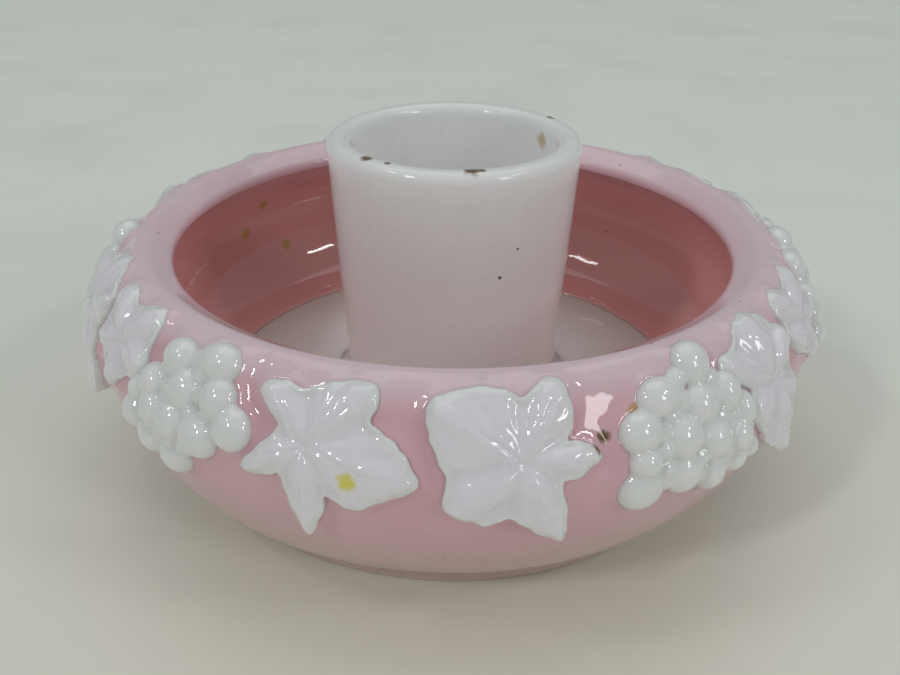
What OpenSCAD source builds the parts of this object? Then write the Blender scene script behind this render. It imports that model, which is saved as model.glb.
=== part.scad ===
// Squat pressed-glass candlestick: a low incurved bowl with a candle socket in the middle
// and a band of vine leaves and grape bunches moulded on the outside of its wall.
// The origin is the centre of the foot, +Z is up, and the front of the piece faces -Y.

/* [Bowl] */
// Outer radius of the foot ring
foot_r = 30.2; // [29.8:0.1:30.4]
// Inner radius of the foot ring
foot_in_r = 25.4; // [23:0.2:26]
// Height at which the wall leaves the foot ring
foot_h = 2.6; // [2.2:0.1:3]
// Depth of the hollow under the foot
foot_hollow = 1.6; // [1.2:0.1:2]
// Radius of the wall at its widest line
belly_r = 39.6; // [39:0.1:40]
// Height of the widest line
belly_z = 18.4; // [17.6:0.2:19]
// Radius of the circle that the rim's crest follows
rim_r = 33.9; // [33.7:0.1:34.1]
// Height of the rim's crest
rim_top_z = 26.4; // [26.2:0.1:26.6]
// Radius of the rim's rounding at its crest
rim_round = 1.8; // [1.7:0.05:1.9]
// Radius of the circle inside which the rim turns into the hollow
lip_r = 31.6; // [31.4:0.1:31.8]
// Height of the centre of the lip's rounding
lip_z = 24.4; // [24.2:0.1:24.5]
// Radius of the lip's rounding
lip_edge = 0.8; // [0.6:0.05:0.9]
// Inside radius of the bowl at its widest
hollow_r = 35.4; // [34.5:0.1:36]
// Height of the hollow's widest line
hollow_z = 16.4; // [15.6:0.2:17]

/* [Floor] */
// Radius of the white floor disc
floor_r = 27; // [26:0.2:27.4]
// Height of the floor's upper face
floor_z = 6.9; // [6.5:0.1:7.3]

/* [Candle socket] */
// Height of the socket's lip above the table
socket_top_z = 36.4; // [34:0.2:38]
// Outer radius of the socket under its lip
socket_top_r = 13.8; // [13.4:0.1:14.2]
// Outer radius of the socket above its foot fillet
socket_low_r = 12.2; // [12:0.1:12.6]
// Radius of the fillet where the socket meets the floor
socket_fillet = 1.8; // [1:0.1:2.4]
// Radius of the candle bore
bore_r = 11.25; // [11:0.05:11.3]
// Length of the bore's straight wall
bore_len = 14; // [12:0.5:16]
// Radius at the bottom of the tapered seat below the bore
seat_r = 9.6; // [9:0.1:10]
// Depth of the tapered seat
seat_len = 11; // [8:0.5:11]
// Rounding of the lip
lip_round = 0.9; // [0.7:0.05:1]

/* [Relief] */
// How far the leaves stand out from the wall
leaf_rise = 1.5; // [1:0.1:1.8]
// How far the web under the grapes stands out
web_rise = 0.9; // [0.6:0.1:1.2]
// How far the middle of each grape lies outside the wall
grape_lift = 0.2; // [0:0.05:0.3]

/* [Hidden] */

round_fn = 96;
grape_fn = 40;
curve_steps = 7;
arc_steps = 6;

pink = [0.93, 0.68, 0.74];
milk = [0.95, 0.95, 0.94];

// The band repeats three times round the bowl. Bearings are in degrees from the front,
// towards +X, for the first of each motif.
repeat_angle = 120;
grapes_a_at = -35.5;
leaf_star_at = -15.5;
leaf_broad_at = 7.5;
grapes_b_at = 31;
leaf_tall_at = 49.5;
leaf_low_at = 65.8;

// Roundness of each stretch of the wall: 2 is an ellipse, 1 is a straight cone
under_power = 1.75;
shoulder_power = 1.2;
hollow_low_power = 1.8;
hollow_high_power = 1.6;

crest_out_angle = 48;
crest_in_angle = 120;
lip_in_angle = 188;
foot_edge = 0.5;
foot_draft = 0.2;

rim_z = rim_top_z - rim_round;
shoulder_r = rim_r + rim_round * cos(crest_out_angle);
shoulder_z = rim_z + rim_round * sin(crest_out_angle);
mouth_r = lip_r + lip_edge * cos(lip_in_angle);
mouth_z = lip_z + lip_edge * sin(lip_in_angle);

// Bulging curve from an end at (r0, z0) to the widest line at (r1, z1)
function bulge(r0, z0, r1, z1, power) = [
    for (i = [0:curve_steps])
        let (t = 90 * i / curve_steps)
            [r0 + (r1 - r0) * pow(sin(t), 2 / power), z1 + (z0 - z1) * pow(cos(t), 2 / power)]
];

function backwards(points) = [for (i = [len(points) - 1:-1:0]) points[i]];

function without_last(points) = [for (i = [0:len(points) - 2]) points[i]];

function arc_points(r, z, radius, from, to) = [
    for (i = [0:arc_steps])
        let (a = from + (to - from) * i / arc_steps)
            [r + radius * cos(a), z + radius * sin(a)]
];

// Outside of the wall, from the foot ring to the rim, standing out by rise
function wall_curve(rise) = concat(
    without_last(bulge(foot_r - foot_draft, foot_h - rise, belly_r + rise, belly_z, under_power)),
    backwards(bulge(
        shoulder_r + rise * cos(crest_out_angle),
        shoulder_z + rise * sin(crest_out_angle),
        belly_r + rise, belly_z, shoulder_power
    ))
);

// Radius of the wall at height z
function wall_r(z) =
    z > belly_z
    ? shoulder_r + (belly_r - shoulder_r)
        * pow(1 - pow((z - belly_z) / (shoulder_z - belly_z), shoulder_power), 1 / shoulder_power)
    : foot_r + (belly_r - foot_r)
        * pow(1 - pow((belly_z - z) / (belly_z - foot_h), under_power), 1 / under_power);

module bowl() {
    color(pink)
        rotate_extrude($fn = round_fn)
            polygon(concat(
                [
                    [floor_r, foot_hollow],
                    [foot_in_r, foot_hollow],
                    [foot_in_r, 0],
                    [foot_r - foot_edge, 0],
                    [foot_r, foot_edge]
                ],
                wall_curve(0),
                arc_points(rim_r, rim_z, rim_round, crest_out_angle + 20, crest_in_angle),
                arc_points(lip_r, lip_z, lip_edge, crest_in_angle, lip_in_angle),
                bulge(mouth_r + 0.05, mouth_z - 0.3, hollow_r, hollow_z, hollow_high_power),
                backwards(without_last(bulge(floor_r, floor_z, hollow_r, hollow_z, hollow_low_power)))
            ));
}

module floor_disc() {
    color(milk)
        translate([0, 0, foot_hollow])
            cylinder(r = floor_r, h = floor_z - foot_hollow, $fn = round_fn);
}

module candle_socket() {
    fillet_z = floor_z + socket_fillet;
    bore_top_z = socket_top_z - lip_round;
    seat_z = bore_top_z - bore_len;
    color(milk)
        rotate_extrude($fn = round_fn)
            polygon(concat(
                [[0, floor_z]],
                arc_points(socket_low_r + socket_fillet, fillet_z, socket_fillet, 270, 180),
                arc_points(socket_top_r - lip_round, bore_top_z, lip_round, 0, 90),
                arc_points(bore_r + lip_round, bore_top_z, lip_round, 90, 180),
                [
                    [bore_r, seat_z],
                    [seat_r, seat_z - seat_len + 1],
                    [seat_r - 1.4, seat_z - seat_len],
                    [0, seat_z - seat_len]
                ]
            ));
}

// Skin of the wall's own shape, from the wall's surface out to rise
module skin(rise) {
    rotate_extrude($fn = round_fn)
        polygon(concat(wall_curve(0), backwards(wall_curve(rise))));
}

// The bowl's outside as one solid, to trim what stands on it
module wall_form() {
    rotate_extrude($fn = round_fn)
        polygon(concat([[0, foot_h]], wall_curve(0), [[0, shoulder_z]]));
}

// Straight block of the given outline, pointing out of the front of the bowl
module radial_block(outline) {
    reach = belly_r + 6;
    rotate([90, 0, 0])
        linear_extrude(height = reach)
            polygon(outline);
}

module leaf(bearing, outline) {
    color(milk)
        intersection() {
            skin(leaf_rise);
            rotate([0, 0, bearing])
                radial_block(outline);
        }
}

// A bunch: spheres at [sideways, height, radius], on a thin web
module grapes(bearing, berries, web) {
    color(milk)
        union() {
            intersection() {
                skin(web_rise);
                rotate([0, 0, bearing])
                    radial_block(web);
            }
            difference() {
                rotate([0, 0, bearing])
                    for (b = berries)
                        rotate([0, 0, asin(b[0] / wall_r(b[1]))])
                            translate([0, -wall_r(b[1]) - grape_lift, b[1]])
                                sphere(r = b[2], $fn = grape_fn);
                wall_form();
            }
        }
}

// Outlines of the leaves as seen straight on: [sideways, height]
star_outline = [
    [-6.3, 25], [-4.4, 25.7], [-2.2, 25.5], [0.8, 26.4], [3.6, 26.3],
    [4, 25.1], [3.6, 23.7], [5.8, 22.6], [7.5, 20.9], [8.3, 19.2],
    [6.6, 17.9], [3, 16.2], [0.3, 17.4], [0.2, 15.6], [-0.9, 13.1],
    [-2.5, 15.2], [-3.5, 18.5], [-5.6, 18], [-7.6, 18.2], [-6.1, 20.5],
    [-4.2, 22.4], [-5.7, 23.6]
];

broad_outline = [
    [-6.9, 25.3], [-4.4, 26.2], [-1.6, 26.5], [1.1, 25.5], [2.4, 26.5],
    [4, 26.9], [5.1, 24.9], [4.6, 22.4], [6.2, 22], [7.5, 20.8],
    [5.7, 19.5], [4, 19], [4.5, 16.6], [4.3, 13.4], [2.3, 14.2],
    [-0.5, 16], [-2.4, 15.4], [-4.9, 16.3], [-5.9, 17.9], [-5.6, 19.9],
    [-6.6, 22]
];

tall_outline = [
    [-2.6, 26.7], [0.2, 27.2], [1.9, 26.6], [2.9, 25.7], [4.8, 23.9], [4.4, 22.4],
    [3.8, 20.4], [3.5, 17.8], [4.1, 16.2], [3.4, 13.9], [2, 12.8], [0.2, 14],
    [-1.6, 15.8], [-2.6, 17.4], [-3.7, 19.2], [-4.2, 20.6], [-3.7, 21.7], [-5.2, 22.9],
    [-6.2, 24.3], [-5.4, 25.2], [-3.8, 25.8]
];

low_outline = [
    [-5.4, 25.4], [-4.7, 26.5], [-3, 27], [-1, 26], [1, 26.6], [3, 27.2],
    [4.6, 26.2], [4.8, 24.2], [5.6, 22.2], [4.9, 21], [2.6, 20.4], [0.2, 18.6],
    [-1.8, 19.9], [-4.2, 21], [-5.1, 22.4], [-4.8, 24]
];

// Grapes as [sideways, height, radius], and the webs they stand on
berries_a = [
    [-2.8, 24, 1.9], [1.8, 24.8, 2], [-4.9, 21.3, 1.7], [-1.4, 22, 2], [2.6, 22.3, 2],
    [-4.6, 19.3, 1.8], [-7, 18, 1.7], [-2.4, 19.1, 1.9], [-5.4, 16.9, 1.8], [1.6, 18.9, 2],
    [4.9, 20.4, 1.9], [-2.2, 15.9, 1.9]
];

web_a = [
    [-2.8, 25.2], [2, 25.8], [4.4, 23], [5.6, 20.4], [3.4, 17.6],
    [0, 15.8], [-3, 15], [-6.4, 16.6], [-7.4, 18.6], [-5, 22.2]
];

berries_b = [
    [2.1, 25, 1.9], [-2.2, 23.4, 2], [2, 22, 1.9], [5, 22, 1.7], [6.2, 20.4, 1.5],
    [-4.8, 21.2, 2], [-0.6, 20, 2], [2.8, 18.9, 1.8], [5.6, 18.2, 1.7], [-5, 16.8, 2.1],
    [-0.8, 16.8, 1.9], [3, 15.4, 1.8], [6, 16.3, 1.5]
];

web_b = [
    [1.9, 26], [4.9, 23.6], [6.6, 21.4], [6.8, 18], [6.4, 16],
    [3, 14.3], [-1, 15.4], [-5, 15.4], [-6, 18], [-6, 22],
    [-2.4, 24.8]
];

module grapes_a(n) grapes(grapes_a_at + repeat_angle * n, berries_a, web_a);
module grapes_b(n) grapes(grapes_b_at + repeat_angle * n, berries_b, web_b);
module leaf_star(n) leaf(leaf_star_at + repeat_angle * n, star_outline);
module leaf_broad(n) leaf(leaf_broad_at + repeat_angle * n, broad_outline);
module leaf_tall(n) leaf(leaf_tall_at + repeat_angle * n, tall_outline);
module leaf_low(n) leaf(leaf_low_at + repeat_angle * n, low_outline);

bowl();
floor_disc();
candle_socket();
for (n = [0:2]) {
    grapes_a(n);
    grapes_b(n);
    leaf_star(n);
    leaf_broad(n);
    leaf_tall(n);
    leaf_low(n);
}
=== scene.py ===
import math

import bmesh
import bpy
import numpy as np
from mathutils import Matrix, Vector


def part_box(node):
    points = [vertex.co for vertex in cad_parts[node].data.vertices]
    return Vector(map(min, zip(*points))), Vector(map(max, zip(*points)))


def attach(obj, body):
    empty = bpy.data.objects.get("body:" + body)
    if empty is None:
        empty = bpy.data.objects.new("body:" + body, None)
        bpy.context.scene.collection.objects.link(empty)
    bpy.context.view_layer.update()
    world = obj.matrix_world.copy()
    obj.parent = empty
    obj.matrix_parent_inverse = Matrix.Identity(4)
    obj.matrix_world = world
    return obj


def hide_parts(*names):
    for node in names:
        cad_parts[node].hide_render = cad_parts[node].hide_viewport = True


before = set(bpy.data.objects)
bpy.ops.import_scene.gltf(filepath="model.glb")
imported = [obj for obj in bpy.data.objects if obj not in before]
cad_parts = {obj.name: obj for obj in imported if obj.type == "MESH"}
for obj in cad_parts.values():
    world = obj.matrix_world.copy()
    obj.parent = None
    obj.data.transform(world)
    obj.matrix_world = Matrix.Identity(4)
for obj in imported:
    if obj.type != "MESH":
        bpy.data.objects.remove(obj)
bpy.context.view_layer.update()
mm = 0.001  # metres in a millimetre
print("frame loaded:", len(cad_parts), "nodes")


# sizes taken from the frame, in millimetres

def topOf(node):
    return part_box(node)[1].z / mm


def bottomOf(node):
    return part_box(node)[0].z / mm


def radiusOf(node):
    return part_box(node)[1].x / mm


bowlShape = {
    "footRadius": 30.2,
    "footInside": 25.4,
    "footHeight": 2.6,
    "footHollow": bottomOf("floor_disc"),
    "footRound": 0.7,
    "footTaper": 0.3,
    "bellyRadius": radiusOf("bowl"),
    "bellyHeight": 18.4,
    "rimRadius": 33.9,
    "rimTop": topOf("bowl"),
    "rimRound": 1.8,
    "shoulderAngle": 48,
    "lipRadius": 31.6,
    "lipDrop": 2.0,
    "lipRound": 0.8,
    "hollowRadius": 35.4,
    "hollowHeight": 16.4,
    "floorRadius": radiusOf("floor_disc"),
    "floorTop": topOf("floor_disc"),
    "underPower": 1.75,
    "shoulderPower": 1.2,
    "hollowLowPower": 1.8,
    "hollowHighPower": 1.6,
    "columns": 640,
    "fineStep": 0.3,
    "coarseStep": 0.75,
    "reliefFrom": 12.6,
    "bankHeight": 0.5,  # the pink wall banks up where it meets a moulding
    "bankWidth": 0.62,
    "bankFall": 1.4,
    "bankReach": 16,
    "underDepth": 0.3,
    "underWidth": 0.8,
    "wobble": 0.07,
    "wobbleSize": 26.0,
    "wobbleFrom": 3.2,
    "seamHeight": 0.05,
    "seamWidth": 0.16,
    "seamSpread": 0.62,  # millimetres in a degree
    "seamBearing": -26.0,
    "crestStep": 0.35,
    "mouthIn": 0.03,
    "mouthDrop": 0.35,
    "innerStep": 0.8,
    # paler crest where the glass is thin, partly painted sheen
    "paleRimThinAndSheen": {"from": 3.2, "over": 2.8, "strength": 0.9},
    # painted shade and painted warm table reflection towards the foot
    "shadedFoot": {"from": 15.0, "over": 12.0},
    "paleFloorEdge": {"over": 1.6, "strength": 0.8},
    # painted shade: darker and redder inside the bowl below the rim
    "deepShadeInside": {"from": 2.6, "over": 3.0},
}


# the wall's curve

def bulge(start, end, power, steps=40):
    # from start to the widest point at end, upright there
    t = np.linspace(0.0, math.pi / 2, steps)
    r = start[0] + (end[0] - start[0]) * np.sin(t) ** (2 / power)
    z = end[1] + (start[1] - end[1]) * np.cos(t) ** (2 / power)
    return np.stack([r, z], axis=1)


def arc(centre, radius, fromDegrees, toDegrees, steps=16):
    a = np.radians(np.linspace(fromDegrees, toDegrees, steps))
    return np.stack([centre[0] + radius * np.cos(a), centre[1] + radius * np.sin(a)], axis=1)


def resample(curve, step):
    # even steps along a curve, ends kept
    gap = np.linalg.norm(np.diff(curve, axis=0), axis=1)
    along = np.concatenate([[0.0], np.cumsum(gap)])
    count = max(2, int(round(along[-1] / step)) + 1)
    at = np.linspace(0.0, along[-1], count)
    return np.stack([np.interp(at, along, curve[:, k]) for k in (0, 1)], axis=1)


def straight(start, end, step):
    return resample(np.array([start, end]), step)


def outerCurve():
    s = bowlShape
    rimZ = s["rimTop"] - s["rimRound"]
    belly = (s["bellyRadius"] - s["wobble"], s["bellyHeight"])
    low = bulge((s["footRadius"] - s["footTaper"], s["footHeight"]), belly, s["underPower"])
    turn = math.radians(s["shoulderAngle"])
    shoulder = (s["rimRadius"] + s["rimRound"] * math.cos(turn), rimZ + s["rimRound"] * math.sin(turn))
    high = bulge(shoulder, belly, s["shoulderPower"])[::-1]
    crest = arc((s["rimRadius"], rimZ), s["rimRound"], s["shoulderAngle"] + 6, 120, 18)
    lip = arc((s["lipRadius"], s["rimTop"] - s["lipDrop"]), s["lipRound"], 122, 188, 10)
    return low, high[1:], np.concatenate([crest, lip])


lowCurve, highCurve, crestCurve = outerCurve()
reliefEnd = 9  # the relief's map stops this many points into the crest
easeHalf = 20  # points on each side that even out the corners
wallCurve = resample(np.concatenate([lowCurve, highCurve, crestCurve[:reliefEnd]]), 0.05)
smoothing = np.hanning(2 * easeHalf + 1)
smoothing /= smoothing.sum()
firstPoints = np.repeat(wallCurve[:1], easeHalf, 0)
lastPoints = np.repeat(wallCurve[-1:], easeHalf, 0)
padded = np.concatenate([firstPoints, wallCurve, lastPoints])
wallSmooth = np.stack([np.convolve(padded[:, k], smoothing, "valid") for k in (0, 1)], axis=1)
wallAlong = np.concatenate([[0.0], np.cumsum(np.linalg.norm(np.diff(wallSmooth, axis=0), axis=1))])
tangent = np.gradient(wallSmooth, axis=0)
tangent /= np.linalg.norm(tangent, axis=1)[:, None]
wallNormal = np.stack([tangent[:, 1], -tangent[:, 0]], axis=1)
reliefLift = 1.2
raisedCurve = wallSmooth + reliefLift * wallNormal


def alongAt(height):
    # how far along the wall a point of the relief lies, from its height above the table
    return np.interp(height, raisedCurve[:, 1], wallAlong)


def wallAt(s, rise):
    r = np.interp(s, wallAlong, wallSmooth[:, 0]) + rise * np.interp(s, wallAlong, wallNormal[:, 0])
    z = np.interp(s, wallAlong, wallSmooth[:, 1]) + rise * np.interp(s, wallAlong, wallNormal[:, 1])
    return r, z


def placeOnWall(u, s, rise, bearing):
    # u is sideways and s along the wall, in the relief's own map
    r, z = wallAt(s, rise)
    reach = np.interp(s, wallAlong, raisedCurve[:, 0])
    a = math.radians(bearing) + np.arcsin(np.clip(u / reach, -1, 1))
    return np.stack([r * np.sin(a), -r * np.cos(a), z], axis=-1)


def pointOnWall(u, s, rise, bearing):
    return Vector(placeOnWall(u, s, rise, bearing))


# soft unevenness of pressed glass, the same on each run

rippleLoss = 1.7  # each finer wave is this much lower
rippleFull = 7.04  # brings the sum of the waves to about 1


def ripple(points, seed, size, octaves=3):
    # smooth random waves, about -1 to 1; size is in millimetres
    draw = np.random.default_rng(seed)
    total = np.zeros(len(points))
    for octave in range(octaves):
        for wave in range(5):
            direction = draw.normal(size=3)
            direction /= np.linalg.norm(direction)
            turns = 2 * math.pi * (2 ** octave) / size
            phase = draw.uniform(0, 6.28)
            total += np.sin(points @ direction * turns + phase) / rippleLoss ** octave
    return total / rippleFull


# mesh helpers

def makeObject(name, points, faces, material, layers=None):
    mesh = bpy.data.meshes.new(name)
    mesh.from_pydata((np.asarray(points) * mm).tolist(), [], faces)
    mesh.update()
    for layer, values in (layers or {}).items():
        attribute = mesh.attributes.new(layer, "FLOAT", "POINT")
        attribute.data.foreach_set("value", np.asarray(values, dtype=np.float32))
    mesh.polygons.foreach_set("use_smooth", [True] * len(mesh.polygons))
    piece = bpy.data.objects.new(name, mesh)
    bpy.context.scene.collection.objects.link(piece)
    mesh.materials.append(material)
    return piece


def handOver(piece, slotName, *nodes):
    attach(piece, "root")
    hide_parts(*nodes)


def ringFaces(rows, columns, closed):
    faces = []
    last = rows if closed else rows - 1
    for i in range(last):
        a = i * columns
        b = ((i + 1) % rows) * columns
        for j in range(columns):
            k = (j + 1) % columns
            faces.append((a + j, a + k, b + k, b + j))
    return faces


def lathePoints(profile, columns):
    a = np.linspace(0, 2 * math.pi, columns, endpoint=False)
    r = profile[:, 0][:, None]
    x = r * np.sin(a)[None, :]
    y = -r * np.cos(a)[None, :]
    z = np.repeat(profile[:, 1][:, None], columns, axis=1)
    return np.stack([x, y, z], axis=-1).reshape(-1, 3)


# outlines in the relief's map

def closedCurve(corners, steps=4):
    # smooth closed line through the corners
    p = np.asarray(corners, float)
    n = len(p)
    out = []
    for i in range(n):
        a, b, c, d = p[i - 1], p[i], p[(i + 1) % n], p[(i + 2) % n]
        for k in range(steps):
            t = k / steps
            out.append(
                b + 0.5 * t * ((c - a) + t * ((2 * a - 5 * b + 4 * c - d) + t * (3 * (b - c) + d - a)))
            )
    return np.array(out)


def segmentDistance(u, s, a, b):
    # distance to a segment, and how far along it, 0 to 1
    ab = b - a
    t = ((u - a[0]) * ab[0] + (s - a[1]) * ab[1]) / max(float(ab @ ab), 1e-9)
    t = np.clip(t, 0, 1)
    return np.hypot(u - a[0] - t * ab[0], s - a[1] - t * ab[1]), t


def outlineDistance(u, s, line):
    # distance inside a closed line, negative outside, with the nearest point on it
    a = line
    b = np.roll(line, -1, axis=0)
    best = np.full(u.shape, 1e9)
    nearU = np.zeros(u.shape)
    nearS = np.zeros(u.shape)
    inside = np.zeros(u.shape, bool)
    for p, q in zip(a, b):
        ab = q - p
        t = np.clip(((u - p[0]) * ab[0] + (s - p[1]) * ab[1]) / max(float(ab @ ab), 1e-9), 0, 1)
        x = p[0] + t * ab[0]
        y = p[1] + t * ab[1]
        d = np.hypot(u - x, s - y)
        closer = d < best
        best = np.where(closer, d, best)
        nearU = np.where(closer, x, nearU)
        nearS = np.where(closer, y, nearS)
        if p[1] != q[1]:
            crosses = ((p[1] > s) != (q[1] > s)) & (u < (q[0] - p[0]) * (s - p[1]) / (q[1] - p[1]) + p[0])
            inside ^= crosses
    return np.where(inside, best, -best), nearU, nearS


def toMap(points):
    p = np.asarray(points, float)
    return np.stack([p[:, 0], alongAt(p[:, 1])], axis=1)


# leaves: sideways and height of the outline, the vein centre, the lobe tips and the notches

leafShape = {
    "grid": 0.13,
    "edgeWidth": 0.75,
    "edgeStart": 0.75,
    "rise": 1.55,
    "depth": -0.7,
    "softEdge": 0.8,
    "ridge": 0.5,
    "ridgeWidth": 1.15,
    "ridgeFrom": 0.8,
    "valleyDepth": 0.62,
    "valleyWidth": 0.55,
    "valleyFrom": 0.22,
    "veinDepth": 0.13,
    "veinWidth": 0.2,
    "veinBend": 0.35,
    "veinReach": 0.92,
    "sideVeins": (0.3, 0.5, 0.7),
    "sideVeinReach": 0.26,
    "sideVeinWidth": 0.17,
    "sideVeinStrength": 0.5,
    "hubDepth": 0.2,
    "hubWidth": 1.3,
    "fanLines": 23,
    "fanFrom": 1.6,
    "fanDepth": 0.035,
    "wobble": 0.07,
    "wobbleSize": 5.0,
    "teeth": 0.065,
    "toothStep": 0.28,
    "paleEdge": 1.3,
    "sink": 0.62,
    "sinkFrom": 24.0,
    "sinkTo": 27.2,
    "hang": 1.0,
    "hangFrom": 17.5,
    "hangOver": 4.5,
}

leaves = {
    "leaf_star": {
        "bearing": -15.5,
        "outline": [
            (-6.5, 24.9), (-5.6, 25.5), (-4.1, 25.7), (-2.3, 25.4), (-0.8, 26.0), (1.2, 26.5), (3.2, 26.5),
            (4.0, 25.8), (4.0, 24.8), (3.7, 23.7), (4.8, 23.1), (6.2, 22.2), (7.4, 20.9), (8.3, 19.3),
            (7.6, 18.5), (6.5, 17.9), (4.9, 17.1), (3.1, 16.2), (1.6, 16.6), (0.4, 17.2), (0.2, 15.8),
            (-0.4, 14.2), (-1.1, 13.0), (-1.9, 13.9), (-2.8, 15.5), (-3.3, 17.0), (-3.7, 18.4),
            (-4.7, 18.2), (-6.1, 17.8), (-7.6, 18.1), (-7.0, 19.4), (-5.6, 20.9), (-4.3, 22.3),
            (-5.0, 23.1), (-6.0, 23.9),
        ],
        "hub": (-1.7, 21.4),
        "tips": [(-5.5, 25.1), (2.7, 26.1), (7.8, 19.2), (-1.1, 13.7), (-7.1, 18.4)],
        "notches": [(-2.3, 25.4), (3.7, 23.7), (0.4, 17.2), (-3.7, 18.4), (-4.3, 22.3)],
    },
    "leaf_broad": {
        "bearing": 7.5,
        "outline": [
            (-6.9, 25.2), (-6.0, 25.9), (-4.4, 26.3), (-2.5, 26.6), (-0.8, 26.4), (0.4, 26.0), (1.1, 25.6),
            (2.0, 26.3), (3.0, 26.9), (3.9, 27.0), (4.7, 26.4), (5.0, 25.4), (5.2, 24.4), (5.0, 23.2),
            (4.6, 22.4), (5.6, 22.2), (6.7, 21.8), (7.6, 20.8), (6.7, 20.1), (5.8, 19.5), (5.0, 19.2),
            (4.1, 19.1), (4.1, 18.2), (4.5, 16.9), (4.6, 15.0), (4.3, 13.3), (3.1, 13.7), (1.8, 14.4),
            (0.5, 15.4), (-0.5, 15.9), (-1.3, 15.7), (-2.3, 15.3), (-3.3, 15.7), (-4.6, 16.0),
            (-5.7, 16.7), (-6.0, 18.0), (-5.6, 19.7), (-6.2, 21.2), (-6.8, 22.8), (-7.0, 24.2),
        ],
        "hub": (0.7, 21.0),
        "tips": [(-6.4, 25.2), (3.8, 26.6), (7.1, 20.9), (4.1, 14.0), (-4.9, 16.5)],
        "notches": [(1.1, 25.6), (4.6, 22.4), (4.1, 19.1), (-0.5, 15.9), (-5.6, 19.7)],
    },
    "leaf_tall": {
        "bearing": 49.2,
        "outline": [
            (-2.6, 26.6), (-1.4, 27.1), (0.2, 27.3), (1.9, 26.7), (2.8, 25.9), (3.2, 25.2), (4.0, 25.0),
            (4.9, 24.3), (5.1, 23.4), (4.6, 22.3), (3.9, 21.3), (4.4, 20.0), (4.3, 18.6), (3.7, 17.6),
            (4.3, 16.6), (4.3, 15.0), (3.5, 13.6), (2.1, 12.7), (1.2, 13.4), (0.0, 14.2), (-1.5, 15.3),
            (-2.5, 16.8), (-3.8, 18.2), (-4.7, 19.6), (-4.4, 20.9), (-3.6, 21.7), (-4.6, 22.3),
            (-5.7, 22.9), (-6.6, 24.0), (-6.4, 24.9), (-5.4, 25.3), (-4.2, 25.4), (-3.4, 25.8),
        ],
        "hub": (0.0, 21.4),
        "tips": [(-0.2, 26.8), (4.5, 24.0), (2.4, 13.6), (-4.1, 19.6), (-6.0, 24.3)],
        "notches": [(3.1, 25.2), (3.8, 21.3), (3.6, 17.6), (-1.6, 15.4), (-3.6, 21.7), (-3.6, 25.6)],
    },
    "leaf_low": {
        "bearing": 65.8,
        "outline": [
            (-5.5, 25.3), (-5.0, 26.3), (-4.0, 26.9), (-2.8, 27.0), (-1.8, 26.5), (-0.8, 26.0),
            (0.4, 26.3), (1.7, 26.9), (3.0, 27.2), (4.1, 26.8), (4.8, 25.7), (4.8, 24.6), (5.0, 23.4),
            (5.6, 22.4), (5.5, 21.6), (4.6, 21.0), (3.4, 20.8), (2.4, 20.4), (1.2, 19.4), (0.2, 18.5),
            (-0.7, 19.0), (-1.9, 20.0), (-3.1, 20.5), (-4.3, 21.1), (-5.1, 22.3), (-5.1, 23.4),
            (-4.9, 24.2),
        ],
        "hub": (-0.2, 23.0),
        "tips": [(-3.8, 26.5), (3.2, 26.8), (5.1, 22.2), (0.2, 19.2), (-4.4, 21.8)],
        "notches": [(-0.8, 26.0), (4.8, 24.6), (2.8, 20.6), (-2.4, 20.2), (-4.9, 24.0)],
    },
}


def toothed(line, seed):
    # small uneven teeth along the edge, as cut into the mould
    line = resample(np.concatenate([line, line[:1]]), leafShape["toothStep"])[:-1]
    draw = np.random.default_rng(seed)
    forward = np.roll(line, -1, axis=0) - np.roll(line, 1, axis=0)
    forward /= np.maximum(np.linalg.norm(forward, axis=1), 1e-6)[:, None]
    across = np.stack([forward[:, 1], -forward[:, 0]], axis=1)
    phase = np.cumsum(draw.uniform(0.55, 1.35, len(line)))
    size = leafShape["teeth"] * (0.4 + 0.6 * np.abs(np.sin(np.arange(len(line)) * 0.07 + seed)))
    return line + across * (np.sin(phase) * size)[:, None]


for leaf in leaves.values():
    leaf["line"] = toothed(closedCurve(toMap(leaf["outline"])), len(leaf["outline"]))
    leaf["hubMap"] = toMap([leaf["hub"]])[0]
    leaf["tipMap"] = toMap(leaf["tips"])
    leaf["notchMap"] = toMap(leaf["notches"])


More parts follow.
